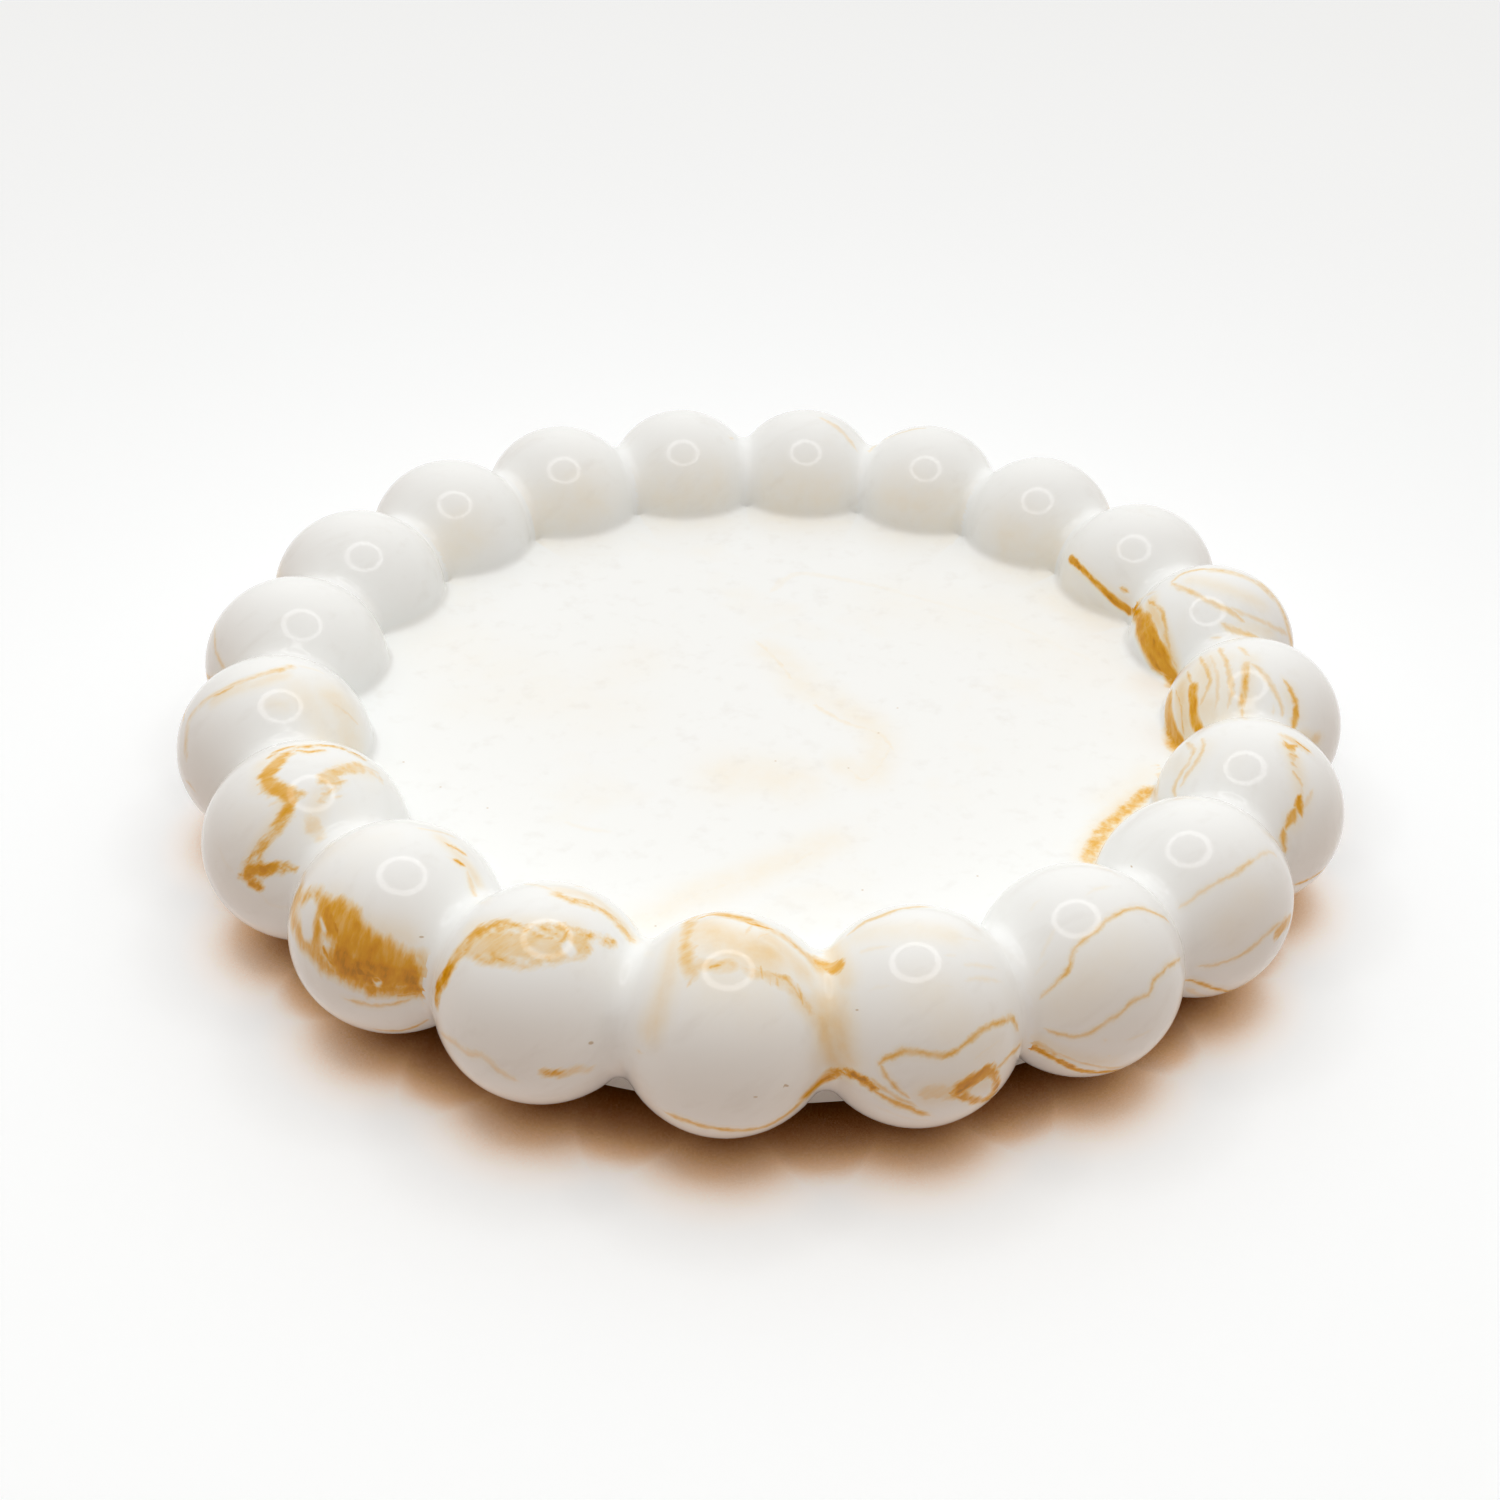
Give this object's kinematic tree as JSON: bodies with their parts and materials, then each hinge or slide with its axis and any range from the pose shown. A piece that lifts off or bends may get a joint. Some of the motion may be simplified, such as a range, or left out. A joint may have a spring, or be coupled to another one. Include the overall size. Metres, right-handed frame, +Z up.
{
  "type": "decorative tray",
  "caption": "Round cast tray: a ring of equal round beads, joined by smooth necks, stands around a flat recessed floor, over a flat base on clear stick-on bumper feet.",
  "frame": {"origin": "on the surface that the tray stands on, at the middle of the ring of beads", "axes": "+Z up, along the axis of the ring; one bead's middle lies on -Y, the front"},
  "size_m": [0.161, 0.161, 0.0268],
  "materials": {
    "marbled_cast_resin": "ivory white mineral-filled casting resin, marbled with gold ochre, sealed and polished to a gloss",
    "clear_rubber": "clear soft polyurethane, satin"
  },
  "bodies": {
    "root": {"tray_casting": "marbled_cast_resin", "bumper_front_left": "clear_rubber", "bumper_front_right": "clear_rubber", "bumper_rear_left": "clear_rubber", "bumper_rear_right": "clear_rubber"}
  },
  "joints": []
}
